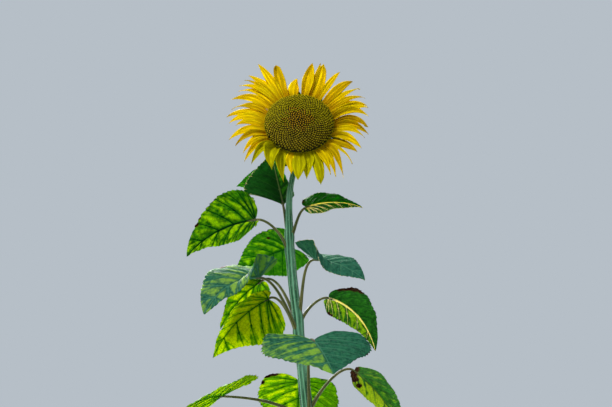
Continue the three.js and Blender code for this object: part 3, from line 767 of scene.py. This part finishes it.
VEINS = 9  # steps between the side veins of half a blade; the first and last lie on the base and the tip
STRONG_VEINS = (2, 3)
BRANCHING = 0.3  # share of the way out at which a side vein forks
VEIN_HALF_WIDTH = 1.25
BLADE_SKIN = 0.5
BLADE_MOST = 4.2  # thickness that the thickest rib adds to the skin
TOOTH = 0.055
TEETH = 21
BULGE = 2.0  # how far the flesh puckers up between the veins
WAVE = 3.2
SHOWN_MESH = (14, 26)  # columns for each vein step and rows for each half, on the upper and the lower leaves
LOWER_MESH = (10, 20)


def look(upper, under, yellowing, *dry_places, ribs=(0, 0, 0), rim_light=(0, 0)):
    """A leaf's two faces, how far its left and right halves have yellowed, and its dry places as (u, across, radius).

    ribs says how pale the ribs are (left half, right half, midrib), and margins how pale the edges are (left, right),
    as painted light catching the rim.
    """
    return upper, under, yellowing, ribs, rim_light, dry_places


LOOKS = [
    look(upper_deep_shaded, under_fresh, (0.1, 0.7), ribs=(0, 0, 0.2), rim_light=(0.9, 0)),
    look(upper_plain, under_fresh, (0.25, 0.25)),
    look(upper_painted_sheen, under_shaded, (0.5, 0.7), (0.79, -1.0, 7), (0.74, -1.0, 4)),
    look(upper_fresh, under_striped, (0.1, 0.1), (0.08, -1, 4), (0.14, -1, 4), ribs=(0.1, 1, 1), rim_light=(0.8, 0.95)),
    look(upper_plain, under_fresh, (0.45, 0.2), (0.46, -0.65, 5), (0.3, -1, 4), (0.4, -1, 4)),
    look(upper_painted_sheen, under_painted_shade, (0.7, 0.55), (0.39, 1.0, 9)),
    look(upper_plain, under_painted_glow, (0.7, 0.7), (0.6, -1, 3), (0.8, -1, 3)),
    look(upper_plain, under_painted_glow, (0.9, 1.05), (0.56, 0.6, 2.5)),
    look(upper_painted_sheen, under_painted_shade, (0.1, 0.1), rim_light=(0, 0.9)),
    look(upper_deep_shaded, under_striped, (0.8, 0.1), (0.12, 0.96, 9), (0.2, 0.92, 11), (0.28, 0.9, 12), (0.36, 0.92, 11),
         (0.43, 1, 9), (0.32, -1, 8), (0.4, -1, 7), (0.56, -1, 5), ribs=(0.6, 0, 1)),
    look(upper_painted_sheen, under_fresh, (0.12, 0.62), rim_light=(0, 0.5)),
    look(upper_plain, under_painted_glow, (0.65, 0.35), (0.13, -1, 10), (0.2, -1, 10), (0.28, -1, 9), (0.5, 1, 4)),
    look(upper_plain, under_painted_glow, (0.35, 1.2), (0.08, -0.2, 15), (0.12, 0.5, 14), (0.2, 0.4, 12), (0.28, 0.6, 10),
         (0.36, 0.5, 9), (0.44, 0.7, 8)),
    look(upper_painted_sheen, under_painted_glow, (0.7, 0.8), rim_light=(0.6, 0)),
]


def lower_look(index):
    """Yellower and with more dry places lower down."""
    share = index / (LOWER_LEAF_COUNT - 1)
    draw = random.Random(40 + index)
    dry = [
        (draw.uniform(0.25, 0.95), draw.choice((-1, 1)) * draw.uniform(0.8, 1), draw.uniform(6, 10 + 16 * share))
        for _ in range(2 + int(4 * share))
    ]
    upper = upper_painted_sheen if index % 2 else upper_plain
    yellowing = 0.25 + 0.35 * share
    return look(upper, under_plain, (yellowing, yellowing), *dry, ribs=(0.3, 0.3, 0.5))


def tooth(u, number, side):
    """A saw edge: each tooth leans out towards the tip and then drops back."""
    place = u * TEETH
    rise = place - floor(place)
    uneven = 0.75 + 0.5 * noise.noise(Vector((floor(place) * 3.7, number, side)))
    return (rise - 0.45) * uneven * smooth_step(0.02, 0.12, u) * (1 - smooth_step(0.93, 1, u))


def distance(first, second):
    return hypot(first[0] - second[0], first[1] - second[1])


def vein_gap(leaf, u, across):
    """Distance to the nearest side vein or branch, in millimetres and in vein half-widths."""
    step = u * VEINS
    vein = min(max(round(step), 2), VEINS - 1)
    gap = distance(blade_flat(leaf, u, across), blade_flat(leaf, vein / VEINS, across))
    share = abs(across)
    strength = 1.2 if vein in STRONG_VEINS else 1.0
    ratio = gap / (strength * VEIN_HALF_WIDTH * (1 - 0.72 * share) + 0.12)
    if share > BRANCHING:
        pitch = 2 * distance(blade_flat(leaf, (vein + 0.5) / VEINS, across), blade_flat(leaf, vein / VEINS, across))
        fork = 0.4 * (share - BRANCHING) / (1 - BRANCHING)
        branch = abs(abs(step - vein) - fork) * pitch
        ratio = min(ratio, branch / (0.62 * (1.15 - share)))
        gap = min(gap, branch + 1.5)
    return gap, ratio


def make_blade(number, leaf, midrib, own_look, columns_per_vein, rows):
    upper, under, yellowing, pale_ribs, painted_rim_light, dry_places = own_look
    columns = (VEINS - 1) * columns_per_vein
    bm = sheet(columns, 2 * rows)
    rib, dry, yellow, pale = float_layers(bm, "rib", "dry", "yellow", "pale")
    flat = bm.verts.layers.float_vector.new("flat")
    weights = bm.verts.layers.deform.verify()
    dry_middles = [(blade_flat(leaf, u, across), radius) for u, across, radius in dry_places]
    lifts = {}
    for vert in bm.verts:
        u = between(FIRST_VEIN, 1, round((vert.co.x + 1) / 2 * columns) / columns)
        row = round(-vert.co.y * rows) / rows
        side = 1 if row > 0 else -1
        half = 1 if row > 0 else 0
        across = side * abs(row) ** 1.25
        share = abs(across)
        gap, ratio = vein_gap(leaf, u, across)
        x, y = blade_flat(leaf, u, across * (1 + TOOTH * share ** 8 * tooth(u, number, side)))
        midrib_half = 2.5 * (1 - 0.85 * max(x, 0) / leaf.long) + 0.2
        ratio = min(ratio, abs(y) / midrib_half)
        gap = min(gap, abs(y))
        between_veins = 1 - exp(-(gap / 6) ** 2)
        place = Vector((x, y, 31.0 * number))
        edge = smooth_step(0.93, 1, share)
        dryness = max([1 - 0.5 * distance((x, y), middle) / radius for middle, radius in dry_middles], default=0)
        dryness = max(dryness, 0.62 * edge * smooth_step(0.1, 0.35, noise.noise(place / 22)), 0)
        cloud = noise.noise(place / 30)
        striped = pale_ribs[2 if abs(y) < 1.5 * midrib_half else half]
        vert[yellow] = yellowing[half] * (0.15 + 0.95 * between_veins + 0.6 * cloud + 0.2 * share ** 3)
        # the edges' share of pale is painted rim light
        vert[pale] = max(0.7 * striped, edge * painted_rim_light[half], striped ** 3 * smooth_step(4.5, 1.5, ratio))
        vert[dry] = dryness
        vert[flat] = place
        vert[rib] = ratio
        lift = BULGE * between_veins * (1 + 0.5 * noise.noise(place / 13))
        lift += WAVE * share ** 2 * noise.noise(place / 34) * 1.6
        lift += 4 * smooth_step(0.45, 0.9, dryness) * noise.noise(place / 5)
        vert.co = blade_point(leaf, midrib, x, y)
        lifts[vert] = lift
        ridge = sqrt(max(1 - (ratio / VEIN_HALF_WIDTH) ** 2, 0))
        deep = 0.9 * ridge * midrib_half if abs(y) < 1.4 * midrib_half else 1.1 * ridge * (1.1 - share)
        vert[weights][0] = min(deep / BLADE_MOST, 1)
    bm.normal_update()
    settled = {vert: vert.co + vert.normal * lift for vert, lift in lifts.items()}
    for vert, place in settled.items():
        vert.co = place
    bmesh.ops.remove_doubles(bm, verts=bm.verts, dist=0.02)
    piece = finish_piece(bm, f"blade_{number:02d}", [upper, under], [f"leaf_{number:02d}_blade"])
    piece.vertex_groups.new(name="vein_depth")
    wall = piece.modifiers.new("flesh", "SOLIDIFY")
    wall.thickness = (BLADE_SKIN + BLADE_MOST) * MM
    wall.offset = -1
    wall.vertex_group = "vein_depth"
    wall.thickness_vertex_group = BLADE_SKIN / (BLADE_SKIN + BLADE_MOST)
    wall.use_rim = True
    wall.material_offset = 1


def make_leaves():
    draw = random.Random(23)
    hairs = bmesh.new()
    for index, leaf in enumerate(leaves):
        number = index + 1
        midrib = midrib_of(leaf)
        rings = petiole_rings(leaf, midrib)
        make_petiole(number, rings)
        petiole_bristles(hairs, draw, rings)
        lower = index - len(UPPER_LEAVES)
        if lower < 0:
            make_blade(number, leaf, midrib, LOOKS[index], *SHOWN_MESH)
        else:
            make_blade(number, leaf, midrib, lower_look(lower), *LOWER_MESH)
    stalks = [f"leaf_{index + 1:02d}_stalk" for index in range(len(leaves))]
    finish_piece(hairs, "stalk_bristles", [bristle_white], stalks)


make_leaves()

# ---- flower head, made about its own axis ----


def head_piece(bm, name, finishes, replaced):
    bmesh.ops.transform(bm, matrix=HEAD_FRAME, verts=bm.verts)
    finish_piece(bm, name, finishes, [replaced])


def spun(profile, steps):
    """A closed shape turned about the axis from a profile of radius and depth."""
    bm = bmesh.new()
    line = [bm.verts.new((radius, 0, depth)) for radius, depth in profile]
    edges = [bm.edges.new(pair) for pair in zip(line, line[1:])]
    bmesh.ops.spin(
        bm, geom=line + edges, cent=(0, 0, 0), axis=(0, 0, 1), angle=2 * pi, steps=steps, use_merge=True,
    )
    bmesh.ops.remove_doubles(bm, verts=bm.verts, dist=0.01)
    bmesh.ops.recalc_face_normals(bm, faces=bm.faces)
    return bm


def dome_point(radius):
    """The disc's surface at that radius, and its direction out."""
    share = min(radius / DISC_RADIUS, 0.9999)
    rise = DISC_DOME - DISC_EDGE
    depth = DISC_EDGE + rise * sqrt(1 - share * share)
    slope = Vector((share / DISC_RADIUS, 0, sqrt(1 - share * share) / rise)).normalized()
    return depth, slope


BED_BACK = 0.4
BED_BELOW = 3  # how far the bed lies under the florets' tips
DOME_ROWS = 14


def make_bed():
    profile = [(0, BED_BACK), (DISC_RADIUS - 6, BED_BACK), (DISC_RADIUS - 2.5, DISC_EDGE)]
    for row in range(1, DOME_ROWS + 1):
        angle = pi / 2 * row / DOME_ROWS
        out, up = DISC_RADIUS - BED_BELOW, DISC_DOME - DISC_EDGE - BED_BELOW
        profile.append((out * cos(angle), DISC_EDGE + up * sin(angle)))
    bm = spun(profile, 72)
    for vert in bm.verts:
        vert.co += vert.normal * (0.5 * noise.noise(vert.co / 4))
    head_piece(bm, "shaded_floret_bed", [shaded_floret_bed], "seed_disc")


make_bed()


def topmost(bm):
    return max(bm.faces, key=lambda face: face.calc_center_median().z)


def floret_from(bm, name, tip_height):
    """The faces above that height take the tip's finish."""
    for face in bm.faces:
        face.material_index = 1 if face.calc_center_median().z > tip_height else 0
    return mesh_from(bm, name)


def bud_template():
    """A closed floret: a five-sided bud that narrows to a blunt tip."""
    bm = bmesh.new()
    bmesh.ops.create_cone(bm, cap_ends=True, segments=5, radius1=1.3, radius2=1.75, depth=4)
    top = topmost(bm)
    for narrowing, rise in ((0.5, 1.2), (0.65, 0.9)):
        bmesh.ops.inset_region(bm, faces=[top], thickness=narrowing, depth=0)
        bmesh.ops.translate(bm, vec=(0, 0, rise), verts=top.verts)
    bmesh.ops.translate(bm, vec=(0, 0, 0.5), verts=bm.verts)
    return floret_from(bm, "bud", 3.1)


def open_template():
    """An open floret: a five-lobed cup on its tube, with the dark column and pale tip inside."""
    bm = bmesh.new()
    bmesh.ops.create_cone(bm, cap_ends=True, segments=5, radius1=1.0, radius2=1.35, depth=4)
    top = topmost(bm)
    rim = bmesh.ops.extrude_face_region(bm, geom=[top])
    lobes = [item for item in rim["geom"] if isinstance(item, bmesh.types.BMVert)]
    bmesh.ops.delete(bm, geom=[top], context="FACES_ONLY")
    for vert in lobes:
        vert.co = Vector((vert.co.x * 1.55, vert.co.y * 1.55, vert.co.z + 1.3))
    cup = topmost(bm)
    bmesh.ops.inset_region(bm, faces=[cup], thickness=0.7, depth=0)
    bmesh.ops.translate(bm, vec=(0, 0, -1.2), verts=cup.verts)
    bmesh.ops.create_cone(
        bm, cap_ends=True, segments=4, radius1=0.5, radius2=0.42, depth=3.4, matrix=Matrix.Translation((0, 0, 2.2)),
    )
    bmesh.ops.recalc_face_normals(bm, faces=bm.faces)
    return floret_from(bm, "open_floret", 2.3)


FLORETS = 760
RIM_FLORETS = 92
SPIRAL_TURN = 137.508
CENTRE_SHARE = 0.34  # where the closed brown florets end, as a share of the disc's radius, and how ragged that is
CENTRE_RAGGED = 0.16
FLORET_SUNK = 2.8


def floret_places():
    """Share of the way out, angle, radius, depth and direction of each floret."""
    places = []
    for index in range(FLORETS):
        share = sqrt((index + 0.5) / FLORETS)
        radius = (DISC_RADIUS - 1.5) * share ** 0.97
        places.append((share, radians(index * SPIRAL_TURN), radius, *dome_point(radius)))
    for index in range(RIM_FLORETS):
        angle = 2 * pi * index / RIM_FLORETS
        places.append((1, angle, DISC_RADIUS - 2.5, DISC_EDGE - 5, Vector((0.98, 0, 0.2))))
    return places


def make_florets():
    draw = random.Random(5)
    bud, opened = bud_template(), open_template()
    zones = {zone: bmesh.new() for zone in FLORET_FINISHES}
    for share, angle, radius, depth, slope in floret_places():
        turn = Matrix.Rotation(angle, 4, "Z")
        foot = turn @ Vector((radius + draw.uniform(-0.5, 0.5), draw.uniform(-0.5, 0.5), depth))
        out = (turn @ slope + Vector([draw.uniform(-0.09, 0.09) for _ in range(3)])).normalized()
        # low marks the lower part of the disc: its florets are smaller, and their sides are painted dark as shade
        low = smooth_step(20, -50, foot.y + draw.uniform(-22, 22)) if foot.y < 60 else 0
        size = between(1.12, 1.3, share) * between(1.06, 0.86, low) * draw.uniform(0.9, 1.1)
        tall = draw.uniform(0.85, 1.15)
        at_centre = share < CENTRE_SHARE + draw.uniform(-CENTRE_RAGGED, CENTRE_RAGGED)
        zone = "centre" if at_centre else "lower" if low > 0.5 and share < 0.97 else "upper"
        place = Matrix.Translation(foot - out * FLORET_SUNK) @ facing(out, angle)
        stamp(zones[zone], bud if at_centre else opened, place @ Matrix.Diagonal((size, size, tall, 1)))
    for zone, finishes in FLORET_FINISHES.items():
        head_piece(zones[zone], "florets_" + zone, finishes, "seed_disc")


make_florets()


def add_petal(whole, bm, thickness, finish=0, turn=0):
    """Closes a sheet's ends, gives it a thickness, turns it about the head's axis and joins it to the others."""
    bmesh.ops.remove_doubles(bm, verts=bm.verts, dist=0.005)
    bmesh.ops.recalc_face_normals(bm, faces=bm.faces)
    bmesh.ops.solidify(bm, geom=bm.faces, thickness=thickness)
    bmesh.ops.rotate(bm, cent=(0, 0, 0), matrix=Matrix.Rotation(turn, 3, "Z"), verts=bm.verts)
    for face in bm.faces:
        face.material_index = finish
    petal = mesh_from(bm, "petal")
    whole.from_mesh(petal)
    bpy.data.meshes.remove(petal)


RAY_COLUMNS = 30
RAY_ROWS = 6
RAY_SKIN = 0.55
RAY_ARCH = 11  # how far a level ray bows up between its foot and its drooping tip
RAY_LAYERS = (0, 7, -5)  # how far forward the tips of neighbouring rays lie
UPPER_RAYS_LONGER = 0.07
FORKED = {12: 0.2, 8: 0.12, 0: 0.1, 28: 0.16, 33: 0.08}  # rays with a notched tip, and how deep the notch goes
LEMON_RAYS = {27, 28, 29, 31, 32, 33}
LEMON_WIDER = 1.2
GOLD_RAYS = {0, 4, 6, 9, 12, 15, 19, 24, 36, 38, 41}


def make_rays():
    draw = random.Random(8)
    whole = bmesh.new()
    for index, (foot_turn, tip_turn, tip_distance, width) in enumerate(RAYS):
        bm = sheet(RAY_COLUMNS, 2 * RAY_ROWS)
        along, across, fold = float_layers(bm, "along", "across", "fold")
        out = heading(foot_turn, 0)
        side = Vector((-out.y, out.x, 0))
        foot = out * (RAY_RING_INSIDE + 2)
        tip = heading(tip_turn, 0) * (tip_distance * (1 + UPPER_RAYS_LONGER * max(out.y, 0) ** 3))
        span = tip - foot
        if index in LEMON_RAYS:
            width *= LEMON_WIDER
        layer = RAY_LAYERS[index % 3]
        curl = draw.uniform(-14, 10)
        twist = draw.uniform(-1.1, 1.1)
        hollow = draw.uniform(-0.7, 0.9)
        wave = draw.uniform(0, 6)
        notch = FORKED.get(index, 0)
        for vert in bm.verts:
            t = (vert.co.x + 1) / 2
            s = vert.co.y
            reach = t * (1 - notch * exp(-(s / 0.3) ** 2) * t ** 2)
            point = t ** 3.2 if not notch else 0.6 * t ** 3.2 + 0.4 * smooth_step(0.85, 1, t)
            full = (0.62 + 0.42 * smooth_step(0, 0.5, t)) * max(1 - point, 0)
            breadth = 0.62 * width * full + (0.25 if t < 1 else 0)
            ridge = cos(2.5 * pi * s)
            turn = twist * t * t
            lift = hollow * breadth * (s * s - 0.3) + 0.8 * ridge * sin(pi * min(t * 1.2, 1))
            lift += 0.9 * noise.noise(Vector((t * 3 + wave, s, index))) * (1 + 2 * t)
            depth = layer * t + 5 * t * (1 - t) + curl * t ** 3 - 1.2
            shift = s * breadth * cos(turn) - lift * sin(turn)
            arch = Vector((0, RAY_ARCH * abs(out.x) * 5 * t * (1 - t) ** 0.8, 0))
            vert[along] = t
            vert[across] = s + 2.7 * index
            # fold marks the ray's grooves, which the ray finish paints with shade
            vert[fold] = 0.5 + 0.5 * ridge
            vert.co = (
                foot + arch + out * (span.dot(out) * reach) + side * (span.dot(side) * reach * reach + shift)
                + Vector((0, 0, depth + lift * cos(turn) + s * breadth * sin(turn)))
            )
        add_petal(whole, bm, RAY_SKIN, 2 if index in LEMON_RAYS else 1 if index in GOLD_RAYS else 0)
    head_piece(whole, "rays", [ray_bright, ray_gold, ray_lemon], "ray_florets")


make_rays()


def receptacle_point(share):
    """Radius and depth of the back of the head, from the neck (0) to the rim (1)."""
    radius = between(NECK_RADIUS, DISC_RADIUS - 3, sin(pi / 2 * share) ** 0.9)
    return Vector((radius, between(2 - RECEPTACLE_DEPTH, RECEPTACLE_FRONT - 6, share ** 2.2)))


RECEPTACLE_ROWS = 14


def make_receptacle():
    profile = [(0, -RECEPTACLE_DEPTH), (NECK_RADIUS - 1, -RECEPTACLE_DEPTH)]
    profile += [tuple(receptacle_point(row / RECEPTACLE_ROWS)) for row in range(1, RECEPTACLE_ROWS + 1)]
    profile += [(DISC_RADIUS - 5, RECEPTACLE_FRONT), (0, RECEPTACLE_FRONT)]
    bm = spun(profile, 84)
    for vert in bm.verts:
        angle = atan2(vert.co.y, vert.co.x)
        rim = hypot(vert.co.x, vert.co.y)
        ripple = 0.9 * cos(21 * angle) * smooth_step(15, 60, rim) + 0.8 * noise.noise(vert.co / 9)
        if vert.co.z < RECEPTACLE_FRONT - 1:
            vert.co += vert.normal * ripple
    head_piece(bm, "head_back", [receptacle_green], "receptacle")


make_receptacle()

# rows of bracts from the rim inwards: how many, share of the way to the rim, length, width, and lift off the surface
BRACT_ROWS = [(24, 0.9, 36, 17, 10), (22, 0.7, 42, 19, 12), (18, 0.5, 42, 19, 14), (12, 0.28, 34, 15, 12)]
BRACT_SKIN = 0.8


def make_bracts():
    draw = random.Random(31)
    whole = bmesh.new()
    for row, (count, share, reach, width, lift) in enumerate(BRACT_ROWS):
        foot = receptacle_point(share)
        along = (receptacle_point(share + 0.05) - foot).normalized()
        along = along.lerp(Vector((1, 0.3)), share ** 2).normalized()
        outward = Vector((along.y, -along.x))
        for index in range(count):
            angle = 2 * pi * (index + 0.5 * (row % 2) + draw.uniform(-0.22, 0.22)) / count
            long = reach * draw.uniform(0.8, 1.15)
            wide = width * draw.uniform(0.85, 1.1)
            lean = draw.uniform(-6, 6)
            spread = lift * draw.uniform(0.6, 1.3)
            bm = sheet(10, 4)
            for vert in bm.verts:
                t = (vert.co.x + 1) / 2
                s = vert.co.y
                breadth = 0.5 * wide * ((1 - t) ** 0.8 * (0.75 + 1.3 * t) + 0.02)
                raised = -1.5 + spread * t + 5 * sin(pi * t) + 0.22 * breadth * (0.4 - s * s)
                raised -= 0.6 * (1 - abs(s)) * (1 - t)
                place = foot + along * (long * t) + outward * raised
                vert.co = Vector((place.x, s * breadth + lean * t * t, place.y))
            add_petal(whole, bm, BRACT_SKIN, turn=angle)
    head_piece(whole, "bracts", [bract_green], "receptacle")


make_bracts()

# ---- floor, light and camera ----

EYE = Vector((-0.074, -3.4773, 0.5813))
AIM = Vector((-0.074, 0.0, 1.513))
LENS = 80.2
LIT_MIDDLE = Vector((-0.07, 0, 1.35))
FLOOR_HALF_SIDE = 15

# each light's name, place, size, power and colour
LIGHTS = [
    ("key", Vector((-1.5, -1.8, 4.2)), 0.7, 150, (1.0, 0.98, 0.92)),
    ("behind", Vector((-1.2, 2.8, 3.5)), 1.5, 860, (1.0, 0.98, 0.9)),
]


def make_floor():
    bm = sheet(1, 1)
    bmesh.ops.scale(bm, vec=(FLOOR_HALF_SIDE, FLOOR_HALF_SIDE, 1), verts=bm.verts)
    mesh = mesh_from(bm, "floor")
    skin = Finish("floor_pale")
    tone = skin.noise(skin.place(), 1.5, 2.0)
    colour = skin.blend(tone, "#d2d5d8", "#dcdee0")
    mesh.materials.append(skin.close(colour, 0.8, skin.bump(tone, 0.001, 0.1)))
    floor_object = put_in_scene("floor", mesh)


def aim_at(holder, place, aim):
    holder.location = place
    holder.rotation_euler = (aim - place).to_track_quat("-Z", "Y").to_euler()


def make_lights():
    for name, place, size, power, colour in LIGHTS:
        lamp = bpy.data.lights.new(name, "AREA")
        lamp.shape = "DISK"
        lamp.size = size
        lamp.energy = power
        lamp.color = colour
        aim_at(put_in_scene(name, lamp), place, LIT_MIDDLE)
    world = bpy.data.worlds.new("studio")
    world.use_nodes = True
    background = world.node_tree.nodes["Background"]
    background.inputs["Color"].default_value = (0.72, 0.80, 0.88, 1)
    background.inputs["Strength"].default_value = 0.65
    bpy.context.scene.world = world


def make_camera():
    camera = bpy.data.cameras.new("camera")
    camera.sensor_width = 36
    camera.lens = LENS
    holder = put_in_scene("camera", camera)
    aim_at(holder, EYE, AIM)
    bpy.context.scene.camera = holder
    bpy.context.scene.view_settings.view_transform = "Standard"


make_floor()
make_lights()
make_camera()
